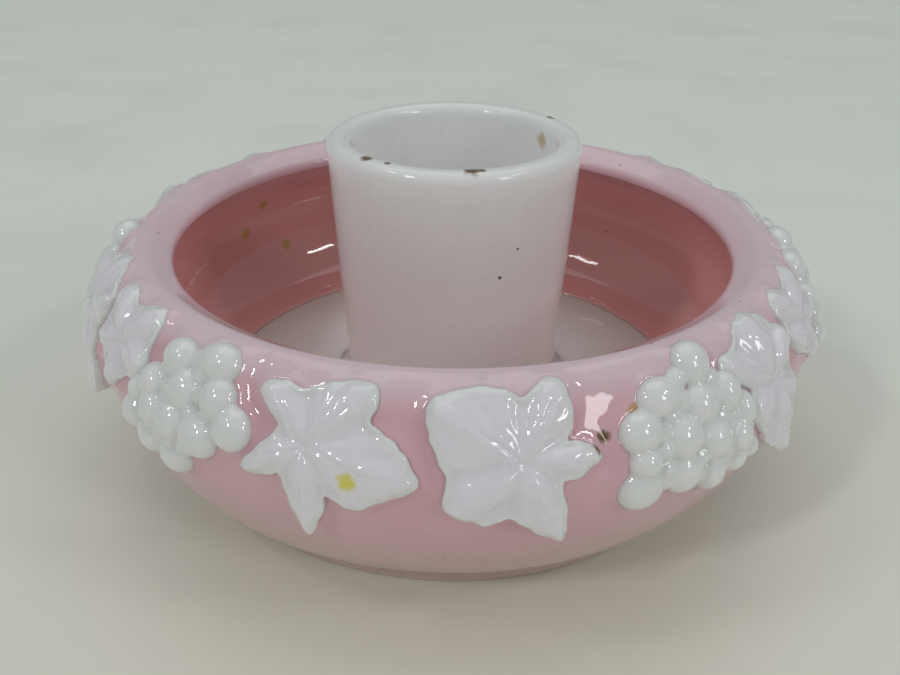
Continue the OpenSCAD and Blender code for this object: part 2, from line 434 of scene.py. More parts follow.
def leafHeight(leaf, u, s, inside, seed):
    k = leafShape
    t = np.clip(inside / k["edgeWidth"], 0, 1)
    rise = k["edgeStart"] + (k["rise"] - k["edgeStart"] - k["ridge"]) * np.sqrt(1 - (1 - t) ** 2)
    hub = leaf["hubMap"]
    away = np.hypot(u - hub[0], s - hub[1])
    soft = np.clip(inside / k["softEdge"], 0, 1)
    soft = soft * soft * (3 - 2 * soft)
    ridge = np.zeros(u.shape)
    vein = np.zeros(u.shape)
    for tip in leaf["tipMap"]:
        length = np.linalg.norm(tip - hub)
        axis = (tip - hub) / length
        side = np.array([-axis[1], axis[0]])
        d, along = segmentDistance(u, s, hub + axis * k["ridgeFrom"], tip)
        swell = 0.55 + 0.45 * np.sin(along * 2.6)
        ridge = np.maximum(ridge, np.exp(-(d / k["ridgeWidth"]) ** 2) * swell)
        bend = k["veinBend"] * np.sin(along * 3.1 + seed)
        end = hub + axis * length * k["veinReach"]
        d, along = segmentDistance(u + side[0] * bend, s + side[1] * bend, hub, end)
        fade = np.clip((0.99 - along) / 0.4, 0, 1)
        vein = np.maximum(vein, np.exp(-(d / k["veinWidth"]) ** 2) * fade)
        for share in k["sideVeins"]:
            for way in (-1, 1):
                start = hub + axis * length * share
                reach = length * k["sideVeinReach"] * (1.2 - share)
                end = start + (axis * 0.8 + side * way) * reach
                d, along = segmentDistance(u, s, start, end)
                branch = k["sideVeinStrength"] * np.exp(-(d / k["sideVeinWidth"]) ** 2)
                vein = np.maximum(vein, branch * (1 - along))
    valley = np.zeros(u.shape)
    for notch in leaf["notchMap"]:
        d, along = segmentDistance(u, s, hub + (notch - hub) * k["valleyFrom"], notch)
        width = k["valleyWidth"] + 0.5 * along
        valley = np.maximum(valley, np.exp(-(d / width) ** 2) * (0.35 + 0.65 * along))
    angle = np.arctan2(u - hub[0], s - hub[1])
    place = np.stack([u, s, np.full(u.shape, seed * 7.0)], axis=-1).reshape(-1, 3)
    drift = ripple(place, seed, k["wobbleSize"]).reshape(u.shape)
    fan = np.sin(angle * k["fanLines"] + 2.2 * drift) * np.clip((away - k["fanFrom"]) / 2.5, 0, 1)
    hollow = k["veinDepth"] * vein + k["hubDepth"] * np.exp(-(away / k["hubWidth"]) ** 2)
    rise += (k["ridge"] * ridge - k["valleyDepth"] * valley * (1 - 0.6 * ridge)) * soft
    rise -= hollow * soft
    rise += (k["fanDepth"] * fan + k["wobble"] * drift) * soft
    # the mould lets a leaf sink into the wall towards the rim, and stand straight below the belly
    z = wallAt(s, 1.0)[1]
    upper = np.clip((z - k["sinkFrom"]) / (k["sinkTo"] - k["sinkFrom"]), 0, 1)
    rise = rise * (1 - k["sink"] * upper * upper) - 0.1 * upper
    return np.minimum(rise, k["rise"])


def hangOut(s):
    # extra rise that keeps the lower tips upright where the wall turns under
    z = wallAt(s, 1.0)[1]
    below = np.clip((leafShape["hangFrom"] - z) / leafShape["hangOver"], 0, 1)
    return leafShape["hang"] * below ** 1.3


def gridSolid(line, grid, heightOf, depth):
    # a slab of glass inside a closed line: its top from heightOf, its underside at depth
    low = line.min(0) - 2 * grid
    high = line.max(0) + 2 * grid
    us = np.arange(low[0], high[0], grid)
    ss = np.arange(low[1], high[1], grid)
    u, s = np.meshgrid(us, ss)
    inside, nearU, nearS = outlineDistance(u, s, line)
    core = inside > 0.35 * grid
    cells = core[:-1, :-1] | core[1:, :-1] | core[:-1, 1:] | core[1:, 1:]
    used = np.zeros(core.shape, bool)
    for shiftI in (0, 1):
        for shiftJ in (0, 1):
            used[shiftI:cells.shape[0] + shiftI, shiftJ:cells.shape[1] + shiftJ] |= cells
    edge = used & ~core
    u = np.where(edge, nearU, u)
    s = np.where(edge, nearS, s)
    inside = np.where(edge, 0.0, inside)
    index = -np.ones(core.shape, int)
    index[used] = np.arange(used.sum())
    pu, ps, pd = u[used], s[used], inside[used]
    count = len(pu)
    top = heightOf(pu, ps, pd)
    i, j = np.nonzero(cells)
    quads = np.stack([index[i, j], index[i, j + 1], index[i + 1, j + 1], index[i + 1, j]], axis=1)
    faces = [tuple(q) for q in quads.tolist()]
    under = [tuple(x + count for x in q[::-1]) for q in faces]
    seen = {}
    for q in faces:
        for a, b in zip(q, q[1:] + q[:1]):
            seen[(a, b)] = True
    sides = [(b, a, a + count, b + count) for (a, b) in seen if (b, a) not in seen]
    heights = np.concatenate([top, np.full(count, depth)])
    return np.tile(pu, 2), np.tile(ps, 2), heights, faces + under + sides, np.tile(pd, 2)


# grapes: sideways, height, half width and half height of each berry

grapeShape = {
    "lift": 0.2,
    "out": 1.7,
    "outSpread": (0.96, 1.0),
    "plump": (1.02, 1.08),
    "barLift": 0.1,
    "barRadius": 1.15,
    "barReach": 4.9,
    "voxel": 0.13,
    "smooth": 13,
    "blend": 3.5,
    "paleFrom": 0.2,
    "paleOver": 1.6,
}

bunches = {
    "grapes_a": {
        "bearing": -35.8,
        "berries": [
            (-2.8, 24.0, 2.0, 1.8), (1.8, 24.8, 2.2, 1.8), (-5.3, 21.4, 1.7, 1.8), (-1.2, 22.0, 2.0, 1.9),
            (2.9, 22.3, 1.9, 1.9), (-4.5, 19.4, 1.7, 1.8), (-7.3, 18.3, 1.7, 1.8), (-1.9, 19.3, 1.9, 1.9),
            (1.7, 19.0, 2.1, 1.9), (5.1, 20.5, 1.9, 1.9), (-4.9, 16.8, 1.8, 1.8), (-1.6, 16.0, 1.9, 1.8),
            (-7.0, 20.3, 1.2, 1.3),
        ],
    },
    "grapes_b": {
        "bearing": 31.4,
        "berries": [
            (2.0, 25.0, 1.9, 1.9), (-2.3, 23.4, 2.2, 1.8), (2.0, 22.0, 1.9, 1.8), (5.2, 22.1, 1.6, 1.9),
            (6.8, 20.3, 1.4, 1.8), (-4.9, 21.3, 2.1, 1.9), (-0.7, 20.1, 1.9, 1.9), (2.9, 19.0, 1.7, 1.9),
            (6.0, 18.3, 1.5, 1.8), (-5.2, 16.6, 2.2, 2.1), (-5.0, 19.0, 1.6, 1.5), (-0.7, 16.9, 2.0, 2.0),
            (2.9, 15.6, 1.7, 1.8), (5.8, 16.2, 1.4, 1.5), (7.4, 16.9, 1.1, 1.3),
        ],
    },
}

for bunch in bunches.values():
    spots = np.array(bunch["berries"], float)
    heights = np.interp(spots[:, 1], wallSmooth[:, 1], wallAlong)
    bunch["map"] = np.stack([spots[:, 0], heights, spots[:, 2], spots[:, 3]], axis=1)


def bunchDistance(berries, u, s):
    # distance outside the berries, negative within them
    total = np.zeros(u.shape)
    for cu, cs, wide, tall in berries:
        d = (np.hypot((u - cu) / wide, (s - cs) / tall) - 1) * min(wide, tall)
        total += np.exp(-np.clip(d, -3, 12) * grapeShape["blend"])
    return -np.log(np.maximum(total, 1e-12)) / grapeShape["blend"]


# materials

def link(tree, source, target):
    tree.links.new(source, target)


def addNode(tree, kind, x, y, **values):
    node = tree.nodes.new(kind)
    node.location = (x, y)
    for key, value in values.items():
        setattr(node, key, value)
    return node


def mathNode(tree, operation, a, b, x, y):
    node = addNode(tree, "ShaderNodeMath", x, y, operation=operation)
    for socket, value in zip(node.inputs, (a, b)):
        if isinstance(value, (int, float)):
            socket.default_value = value
        elif value is not None:
            link(tree, value, socket)
    return node.outputs[0]


def mixColour(tree, factor, a, b, x, y):
    node = addNode(tree, "ShaderNodeMix", x, y, data_type="RGBA")
    for socket, value in zip((node.inputs[0], node.inputs[6], node.inputs[7]), (factor, a, b)):
        if isinstance(value, (int, float, tuple)):
            socket.default_value = value
        else:
            link(tree, value, socket)
    return node.outputs[2]


def mapRange(tree, value, low, high, to0, to1, x, y):
    node = addNode(tree, "ShaderNodeMapRange", x, y, interpolation_type="SMOOTHSTEP")
    link(tree, value, node.inputs[0])
    for socket, number in zip(node.inputs[1:5], (low, high, to0, to1)):
        socket.default_value = number
    return node.outputs[0]


def pressedGlassGroup():
    # cloudy body colour, pinholes and dust, uneven gloss and the faint ripple of a mould
    tree = bpy.data.node_groups.new("pressedGlassSurface", "ShaderNodeTree")
    face = tree.interface
    for name, kind, value in (
        ("Body", "NodeSocketColor", (0.9, 0.9, 0.9, 1)),
        ("Cloud", "NodeSocketColor", (0.8, 0.8, 0.8, 1)),
        ("Cloud Scale", "NodeSocketFloat", 0.1),
        ("Pinholes", "NodeSocketFloat", 0.5),
        ("Roughness Low", "NodeSocketFloat", 0.05),
        ("Roughness High", "NodeSocketFloat", 0.12),
        ("Ripple", "NodeSocketFloat", 0.2),
    ):
        socket = face.new_socket(name, in_out="INPUT", socket_type=kind)
        socket.default_value = value
    for name, kind in (
        ("Color", "NodeSocketColor"),
        ("Roughness", "NodeSocketFloat"),
        ("Normal", "NodeSocketVector"),
    ):
        face.new_socket(name, in_out="OUTPUT", socket_type=kind)
    entry = addNode(tree, "NodeGroupInput", -1500, 0)
    leave = addNode(tree, "NodeGroupOutput", 700, 0)
    place = addNode(tree, "ShaderNodeTexCoord", -1500, -400)
    scale = addNode(tree, "ShaderNodeVectorMath", -1300, -400, operation="SCALE")
    link(tree, place.outputs["Object"], scale.inputs[0])
    scale.inputs["Scale"].default_value = 1 / mm
    cloud = addNode(tree, "ShaderNodeTexNoise", -1050, -100)
    cloud.inputs["Detail"].default_value = 4
    cloud.inputs["Roughness"].default_value = 0.55
    link(tree, scale.outputs[0], cloud.inputs["Vector"])
    link(tree, entry.outputs["Cloud Scale"], cloud.inputs["Scale"])
    cloudMask = mapRange(tree, cloud.outputs["Fac"], 0.36, 0.68, 0, 1, -820, -100)
    body = mixColour(tree, cloudMask, entry.outputs["Body"], entry.outputs["Cloud"], -600, 100)
    # pinholes and grit: few, small and dark
    grit = addNode(tree, "ShaderNodeTexVoronoi", -1050, -420)
    grit.inputs["Scale"].default_value = 0.22
    link(tree, scale.outputs[0], grit.inputs["Vector"])
    near = mapRange(tree, grit.outputs["Distance"], 0.018, 0.045, 1, 0, -820, -380)
    chance = addNode(tree, "ShaderNodeSeparateColor", -820, -560)
    link(tree, grit.outputs["Color"], chance.inputs[0])
    few = mapRange(tree, chance.outputs[0], 0.72, 0.76, 0, 1, -600, -560)
    spot = mathNode(tree, "MULTIPLY", near, few, -420, -420)
    spot = mathNode(tree, "MULTIPLY", spot, entry.outputs["Pinholes"], -260, -420)
    shade = mixColour(tree, spot, body, (0.10, 0.085, 0.07, 1), -60, 120)
    # a faint film of dust
    dust = addNode(tree, "ShaderNodeTexNoise", -1050, -760)
    dust.inputs["Scale"].default_value = 1.1
    dust.inputs["Detail"].default_value = 6
    link(tree, scale.outputs[0], dust.inputs["Vector"])
    film = mapRange(tree, dust.outputs["Fac"], 0.5, 0.8, 0, 1, -820, -760)
    filmTint = mathNode(tree, "MULTIPLY", film, 0.10, -600, -760)
    dusty = mixColour(tree, filmTint, shade, (0.55, 0.51, 0.44, 1), 160, 120)
    rough = addNode(tree, "ShaderNodeMix", 160, -140, data_type="FLOAT")
    link(tree, film, rough.inputs[0])
    link(tree, entry.outputs["Roughness Low"], rough.inputs[2])
    link(tree, entry.outputs["Roughness High"], rough.inputs[3])
    wave = addNode(tree, "ShaderNodeTexNoise", -1050, -1040)
    wave.inputs["Scale"].default_value = 0.42
    wave.inputs["Detail"].default_value = 2.5
    link(tree, scale.outputs[0], wave.inputs["Vector"])
    bump = addNode(tree, "ShaderNodeBump", 160, -420)
    bump.inputs["Distance"].default_value = 0.35 * mm
    link(tree, wave.outputs["Fac"], bump.inputs["Height"])
    link(tree, entry.outputs["Ripple"], bump.inputs["Strength"])
    link(tree, dusty, leave.inputs["Color"])
    link(tree, rough.outputs[0], leave.inputs["Roughness"])
    link(tree, bump.outputs[0], leave.inputs["Normal"])
    return tree


def stainGroup():
    # full inside the stain's size and ragged at its edge
    tree = bpy.data.node_groups.new("stainMask", "ShaderNodeTree")
    for name, kind in (("Centre", "NodeSocketVector"), ("Size", "NodeSocketFloat")):
        tree.interface.new_socket(name, in_out="INPUT", socket_type=kind)
    tree.interface.new_socket("Mask", in_out="OUTPUT", socket_type="NodeSocketFloat")
    entry = addNode(tree, "NodeGroupInput", -900, 0)
    leave = addNode(tree, "NodeGroupOutput", 300, 0)
    place = addNode(tree, "ShaderNodeTexCoord", -1100, -300)
    away = addNode(tree, "ShaderNodeVectorMath", -700, 0, operation="DISTANCE")
    link(tree, place.outputs["Object"], away.inputs[0])
    link(tree, entry.outputs["Centre"], away.inputs[1])
    share = mathNode(tree, "DIVIDE", away.outputs["Value"], entry.outputs["Size"], -500, 0)
    ragged = addNode(tree, "ShaderNodeTexNoise", -700, -300)
    ragged.inputs["Scale"].default_value = 1.3 / mm
    ragged.inputs["Detail"].default_value = 3
    link(tree, place.outputs["Object"], ragged.inputs["Vector"])
    share = mathNode(tree, "ADD", share, ragged.outputs["Fac"], -300, 0)
    link(tree, mapRange(tree, share, 0.95, 1.6, 1, 0, -100, 0), leave.inputs["Mask"])
    return tree


surfaceGroup = pressedGlassGroup()
stainMaskGroup = stainGroup()

# stains: a place, a size in millimetres and one of these colours
crumbBrown = (0.16, 0.09, 0.035, 1)
waxYellow = (0.78, 0.72, 0.10, 1)
oldWax = (0.55, 0.33, 0.10, 1)
paleWax = (0.72, 0.58, 0.42, 1)
speckBlack = (0.06, 0.05, 0.05, 1)


def stainAt(bearing, radius, height):
    # a place on the piece, in metres, from its bearing, radius and height in millimetres
    a = math.radians(bearing)
    return (radius * math.sin(a) * mm, -radius * math.cos(a) * mm, height * mm)


socketTop = topOf("candle_socket")


def glassMaterial(name, settings):
    material = bpy.data.materials.new(name)
    material.use_nodes = True
    tree = material.node_tree
    tree.nodes.clear()
    leave = addNode(tree, "ShaderNodeOutputMaterial", 500, 0)
    shader = addNode(tree, "ShaderNodeBsdfPrincipled", 200, 0)
    link(tree, shader.outputs[0], leave.inputs["Surface"])
    surface = addNode(tree, "ShaderNodeGroup", -300, -100)
    surface.node_tree = surfaceGroup
    for key in ("Cloud Scale", "Pinholes", "Roughness Low", "Roughness High", "Ripple"):
        surface.inputs[key].default_value = settings[key]
    mask = addNode(tree, "ShaderNodeAttribute", -1100, 200)
    mask.attribute_name = "depthMask"
    thin = mapRange(tree, mask.outputs["Fac"], 0.0, 1.0, 0.0, 1.0, -900, 200)
    for key, y in (("Body", 300), ("Cloud", 100)):
        mixed = mixColour(tree, thin, settings[key], settings[key + " Thin"], -750, y)
        for attribute, tint in settings["Tints"]:
            part = addNode(tree, "ShaderNodeAttribute", -1100, 400 + y, attribute_name=attribute)
            mixed = mixColour(tree, part.outputs["Fac"], mixed, tint, -550, y)
        link(tree, mixed, surface.inputs[key])
    colour = surface.outputs["Color"]
    for place, size, tint in settings["Stains"]:
        stain = addNode(tree, "ShaderNodeGroup", -300, -500)
        stain.node_tree = stainMaskGroup
        stain.inputs["Centre"].default_value = place
        stain.inputs["Size"].default_value = size * mm
        colour = mixColour(tree, stain.outputs["Mask"], colour, tint, -50, 0)
    link(tree, colour, shader.inputs["Base Color"])
    link(tree, surface.outputs["Roughness"], shader.inputs["Roughness"])
    link(tree, surface.outputs["Normal"], shader.inputs["Normal"])
    shader.inputs["IOR"].default_value = 1.52
    shader.inputs["Subsurface Weight"].default_value = settings["Scatter"]
    shader.inputs["Subsurface Radius"].default_value = settings["Scatter Tint"]
    shader.inputs["Subsurface Scale"].default_value = settings["Scatter Depth"] * mm
    shader.inputs["Coat Weight"].default_value = settings["Coat"]
    shader.inputs["Coat Roughness"].default_value = 0.03
    return material


pinkGlass = glassMaterial("pinkMilkGlass", {
    "Body": (0.79, 0.49, 0.56, 1),
    "Cloud": (0.77, 0.46, 0.53, 1),
    "Body Thin": (0.83, 0.66, 0.73, 1),
    "Cloud Thin": (0.82, 0.63, 0.70, 1),
    # painted shade: darker and redder inside the bowl, darker and browner towards the foot
    "Tints": [("innerShadeMask", (0.76, 0.365, 0.36, 1)), ("footShadeMask", (0.60, 0.45, 0.42, 1))],
    "Cloud Scale": 0.09,
    "Pinholes": 0.8,
    "Roughness Low": 0.04,
    "Roughness High": 0.10,
    "Ripple": 0.10,
    "Scatter": 0.35,
    "Scatter Tint": (1.0, 0.45, 0.5),
    "Scatter Depth": 0.8,
    "Coat": 0.25,
    "Stains": [
        (stainAt(-131.7, 34.9, 19.1), 0.9, oldWax),
        (stainAt(-126.8, 35.4, 15.7), 1.0, oldWax),
        (stainAt(-136.8, 34.5, 12.5), 0.9, oldWax),
        (stainAt(23.6, 38.0, 23.6), 0.7, oldWax),
        (stainAt(19.3, 38.4, 21.7), 0.7, crumbBrown),
        (stainAt(53.7, 33.8, 26.2), 0.25, speckBlack),
        (stainAt(70.0, 32.4, 26.2), 0.2, speckBlack),
    ],
})

whiteBase = glassMaterial("whiteMilkGlass", {
    "Body": (0.94, 0.94, 0.94, 1),
    "Cloud": (0.92, 0.91, 0.91, 1),
    "Body Thin": (0.90, 0.92, 0.93, 1),
    "Cloud Thin": (0.88, 0.90, 0.91, 1),
    # painted shade: the floor darkens towards the bowl's wall
    "Tints": [("innerShadeMask", (0.66, 0.59, 0.54, 1))],
    "Cloud Scale": 0.085,
    "Pinholes": 0.9,
    "Roughness Low": 0.08,
    "Roughness High": 0.18,
    "Ripple": 0.08,
    "Scatter": 0.8,
    "Scatter Tint": (0.95, 0.95, 1.0),
    "Scatter Depth": 2.4,
    "Coat": 0.2,
    "Stains": [
        (stainAt(8.2, 12.5, socketTop), 1.0, crumbBrown),
        (stainAt(12.5, 12.6, socketTop), 0.5, crumbBrown),
        (stainAt(-44.0, 12.5, socketTop), 0.8, crumbBrown),
        (stainAt(-32.0, 12.4, socketTop), 0.4, crumbBrown),
        (stainAt(121.0, 13.0, socketTop), 0.8, crumbBrown),
        (stainAt(117.5, 11.2, socketTop - 2.3), 1.1, paleWax),
        (stainAt(21.7, 13.1, 24.9), 0.26, speckBlack),
        (stainAt(29.6, 13.3, 27.9), 0.17, speckBlack),
    ],
})

whiteLeaf = glassMaterial("whiteLeafGlass", {
    "Body": (0.90, 0.87, 0.95, 1),
    "Cloud": (0.88, 0.84, 0.92, 1),
    "Body Thin": (0.84, 0.86, 0.86, 1),
    "Cloud Thin": (0.82, 0.83, 0.84, 1),
    "Tints": [],
    "Cloud Scale": 0.2,
    "Pinholes": 0.5,
    "Roughness Low": 0.035,
    "Roughness High": 0.08,
    "Ripple": 0.12,
    "Scatter": 0.3,
    "Scatter Tint": (0.9, 0.95, 1.0),
    "Scatter Depth": 0.5,
    "Coat": 0.9,
    "Stains": [
        (stainAt(-12.1, 40.7, 19.1), 1.05, waxYellow),
        (stainAt(18.2, 39.4, 21.6), 0.85, crumbBrown),
    ],
})

whiteGrape = glassMaterial("whiteGrapeGlass", {
    "Body": (0.88, 0.89, 0.90, 1),
    "Cloud": (0.85, 0.87, 0.87, 1),
    "Body Thin": (0.80, 0.83, 0.82, 1),
    "Cloud Thin": (0.78, 0.81, 0.80, 1),
    "Tints": [],
    "Cloud Scale": 0.25,
    "Pinholes": 0.6,
    "Roughness Low": 0.03,
    "Roughness High": 0.07,
    "Ripple": 0.08,
    "Scatter": 0.3,
    "Scatter Tint": (0.9, 1.0, 0.97),
    "Scatter Depth": 0.5,
    "Coat": 0.9,
    "Stains": [
        (stainAt(-30.3, 38.9, 24.8), 0.35, crumbBrown),
        (stainAt(-29.2, 39.0, 24.9), 0.3, crumbBrown),
    ],
})
print("materials made")


# the bowl

def bankAt(angle, s):
    # how far the pink wall rises where it meets a moulding
    k = bowlShape
    reach = np.interp(s, wallAlong, raisedCurve[:, 0])
    gap = np.full(angle.shape, 9.0)
    for motif in list(leaves.values()) + list(bunches.values()):
        for turn in range(3):
            off = (angle - motif["bearing"] - 120 * turn + 180) % 360 - 180
            near = np.abs(off) < k["bankReach"]
            if not near.any():
                continue
            u = reach[near] * np.sin(np.radians(off[near]))
            if "line" in motif:
                d = -outlineDistance(u, s[near], motif["line"])[0]
            else:
                d = bunchDistance(motif["map"], u, s[near])
            gap[near] = np.minimum(gap[near], d)
    outside = np.exp(-(np.maximum(gap, 0) / k["bankWidth"]) ** k["bankFall"])
    under = np.clip(-gap / k["underWidth"], 0, 1)
    return k["bankHeight"] * outside * (1 - under) - k["underDepth"] * under, gap


def buildBowl():
    k = bowlShape
    hollow = k["footHollow"]
    r = k["footRound"]
    foot = np.concatenate([
        [(k["floorRadius"], hollow)],
        arc((k["footInside"] + r, hollow - r), r, 90, 180, 6),
        arc((k["footInside"] + r, r), r, 180, 270, 6),
        arc((k["footRadius"] - r, r), r, 270, 360, 8),
    ])
    step = np.concatenate([foot[-1:], [(k["footRadius"] - 0.1, k["footHeight"] - 0.3)], wallSmooth[:1]])
    reliefFrom = alongAt(k["reliefFrom"])
    lower = np.arange(k["coarseStep"], reliefFrom, k["coarseStep"])
    upper = np.arange(reliefFrom, wallAlong[-1], k["fineStep"])
    outerS = np.concatenate([[0.0], lower, upper])
    outer = np.stack([np.interp(outerS, wallAlong, wallSmooth[:, i]) for i in (0, 1)], axis=1)
    crest = resample(crestCurve[reliefEnd - 1:], k["crestStep"])[1:]
    mouth = (crest[-1][0] + k["mouthIn"], crest[-1][1] - k["mouthDrop"])
    widest = (k["hollowRadius"], k["hollowHeight"])
    inHigh = bulge(mouth, widest, k["hollowHighPower"])
    inLow = bulge((k["floorRadius"], k["floorTop"]), widest, k["hollowLowPower"])
    inner = resample(np.concatenate([inHigh, inLow[::-1][1:]]), k["innerStep"])
    profile = np.concatenate([foot, step[1:-1], outer, crest, inner])
    firstOuter = len(foot) + len(step) - 2
    rows = len(profile)
    columns = k["columns"]
    points = lathePoints(profile, columns)
    angles = np.degrees(np.tile(np.linspace(0, 2 * math.pi, columns, endpoint=False), rows))
    angles = (angles + 180) % 360 - 180
    row = np.repeat(np.arange(rows), columns)
    onOuter = (row >= firstOuter) & (row < firstOuter + len(outerS))
    s = np.zeros(len(points))
    s[onOuter] = outerS[row[onOuter] - firstOuter]
    rise = np.zeros(len(points))
    gap = np.full(len(points), 9.0)
    relief = onOuter & (s > reliefFrom - 2)
    rise[relief], gap[relief] = bankAt(angles[relief], s[relief])
    seamGap = ((angles - k["seamBearing"] + 60) % 120 - 60) * k["seamSpread"]
    seam = np.exp(-(seamGap / k["seamWidth"]) ** 2) * k["seamHeight"]
    rise[onOuter] += seam[onOuter] * np.clip((gap[onOuter] - 0.5) / 1.0, 0, 1)
    normalR = np.interp(s, wallAlong, wallNormal[:, 0])
    normalZ = np.interp(s, wallAlong, wallNormal[:, 1])
    radial = np.hypot(points[:, 0], points[:, 1])
    direction = points[:, :2] / radial[:, None]
    wob = ripple(points, 11, k["wobbleSize"], 2) * k["wobble"] * 0.9
    free = (points[:, 2] > k["wobbleFrom"]) & (radial > k["floorRadius"] + 0.8)
    moved = radial + rise * normalR + wob * free
    points = np.stack([
        direction[:, 0] * moved,
        direction[:, 1] * moved,
        points[:, 2] + rise * normalZ,
    ], axis=1)
    points[:, 2] = np.clip(points[:, 2], 0, k["rimTop"])
    # paler along the rim's crest where the glass is thin, partly painted sheen; painted shade and painted
    # warm table reflection towards the foot
    height = points[:, 2]
    firstCrest = firstOuter + len(outerS)
    pale = k["paleRimThinAndSheen"]
    crestThinAndSheenMask = np.clip((height - k["rimTop"] + pale["from"]) / pale["over"], 0, 1) * pale["strength"]
    footShading = k["shadedFoot"]
    # painted shade towards the foot
    footShadeMask = np.clip((footShading["from"] - height) / footShading["over"], 0, 1) * (row < firstCrest)
    edge = k["paleFloorEdge"]
    edgeMask = np.clip(1 - (height - k["floorTop"]) / edge["over"], 0, 1) * (row >= firstCrest)
    mask = np.maximum(crestThinAndSheenMask, edgeMask * edge["strength"])
    # painted shade inside the bowl, growing below the rim
    deep = k["deepShadeInside"]
    inside = np.clip((k["rimTop"] - deep["from"] - height) / deep["over"], 0, 1)
    inside *= row >= firstCrest + len(crest)
    masks = {"depthMask": mask, "innerShadeMask": inside, "footShadeMask": footShadeMask}
    piece = makeObject("bowl_wall", points, ringFaces(rows, columns, True), pinkGlass, masks)
    handOver(piece, "pink_glass", "bowl")
    print("bowl made:", len(piece.data.polygons), "faces")


buildBowl()


# floor disc and candle socket

floorShape = {
    "columns": 192,
    "step": 0.9,
    "gap": 0.02,
    "middle": 0.6,
    "dip": 0.12,
    "dipFrom": 15,
    "dipSize": 17.0,
    "shadeFrom": 14,
    "shadeOver": 11,
    "shade": 0.85,
}

socketShape = {
    "topRadius": 13.8,
    "lowRadius": 12.2,
    "fillet": 1.8,
    "root": 0.6,  # how deep the tube stands in the floor
    "lip": 1.05,
    "lipDrop": 0.9,
    "boreRadius": 11.25,
    "boreLength": 14.0,
    "seatRadius": 9.6,
    "seatLength": 11.0,
    "seatRound": 1.4,
    "columns": 256,
    "step": 0.55,
    "wobble": 0.05,
    "wobbleSize": 21.0,
    "paleFrom": 3.2,
    "paleOver": 3.0,
}


def cappedLathe(profile, columns):
    # a turned solid whose profile starts and ends on the axis
    points = lathePoints(profile[1:-1], columns)
    rows = len(profile) - 2
    faces = ringFaces(rows, columns, False)
    base = len(points)
    points = np.concatenate([points, [[0, 0, profile[0][1]]], [[0, 0, profile[-1][1]]]])
    for j in range(columns):
        k = (j + 1) % columns
        faces.append((base, k, j))
        faces.append((base + 1, (rows - 1) * columns + j, (rows - 1) * columns + k))
    return points, faces


def buildFloor():
    k = floorShape
    radius = bowlShape["floorRadius"] - k["gap"]
    low = bowlShape["footHollow"]
    high = bowlShape["floorTop"]
    profile = np.concatenate([
        [(0, low)],
        straight((k["middle"], low), (radius, low), k["step"]),
        straight((radius, low + 0.2), (radius, high), k["step"]),
        straight((radius - 0.3, high), (k["middle"], high), k["step"]),
        [(0, high)],
    ])
    points, faces = cappedLathe(profile, k["columns"])
    radial = np.hypot(points[:, 0], points[:, 1])
    top = points[:, 2] > high - 0.01
    sag = k["dip"] * (0.5 + 0.5 * ripple(points, 5, k["dipSize"], 2)) * np.clip((radius - radial) / 3, 0, 1)
    sag *= np.clip((radial - k["dipFrom"]) / 4, 0, 1)
    points[:, 2] -= np.where(top, np.maximum(sag, 0), 0)
    # painted shade on the floor, darker towards the wall
    masks = {"innerShadeMask": np.clip((radial - k["shadeFrom"]) / k["shadeOver"], 0, 1) * k["shade"]}
    piece = makeObject("floor_plate", points, faces, whiteBase, masks)
    handOver(piece, "milk_glass_base", "floor_disc")


def buildSocket():
    k = socketShape
    base = bowlShape["floorTop"]
    top = topOf("candle_socket")
    lipZ = top - k["lip"]
    seatZ = top - k["lipDrop"] - k["boreLength"]
    bottom = seatZ - k["seatLength"]
    fillet = k["fillet"]
    bore = k["boreRadius"]
    seat = k["seatRadius"]
    corner = k["seatRound"]
    root = base - k["root"]
    wallFoot = (k["lowRadius"] + 0.01, base + fillet + 0.4)
    wallTop = (k["topRadius"] - 0.02, lipZ - 0.3)
    profile = np.concatenate([
        [(0, root)],
        straight((0.6, root), (k["lowRadius"] + fillet, root), 3.0),
        arc((k["lowRadius"] + fillet, base + fillet), fillet, 268, 180, 14),
        straight(wallFoot, wallTop, k["step"]),
        arc((k["topRadius"] - k["lip"], lipZ), k["lip"], 0, 90, 10),
        arc((bore + k["lip"], lipZ), k["lip"], 90, 180, 10),
        straight((bore, lipZ - 0.4), (bore, seatZ), k["step"]),
        straight((bore - 0.05, seatZ - 0.3), (seat, bottom + 1.2), k["step"]),
        arc((seat - corner, bottom + corner), corner, -10, -90, 8),
        straight((seat - 1.9, bottom), (0.6, bottom), 1.2),
        [(0, bottom)],
    ])
    points, faces = cappedLathe(profile, k["columns"])
    radial = np.maximum(np.hypot(points[:, 0], points[:, 1]), 1e-6)
    outer = radial > k["boreRadius"] + 0.6
    free = np.clip((points[:, 2] - base - 2) / 4, 0, 1) * outer
    shift = -np.abs(ripple(points, 3, k["wobbleSize"], 2)) * k["wobble"] * free
    points[:, :2] *= ((radial + shift) / radial)[:, None]
    mask = np.clip((points[:, 2] - top + k["paleFrom"]) / k["paleOver"], 0, 1)
    piece = makeObject("socket_tube", points, faces, whiteBase, {"depthMask": mask})
    piece.data.set_sharp_from_angle(angle=math.radians(60))
    handOver(piece, "milk_glass_base", "candle_socket")


buildFloor()
buildSocket()
print("floor and socket made")


# leaves and grapes

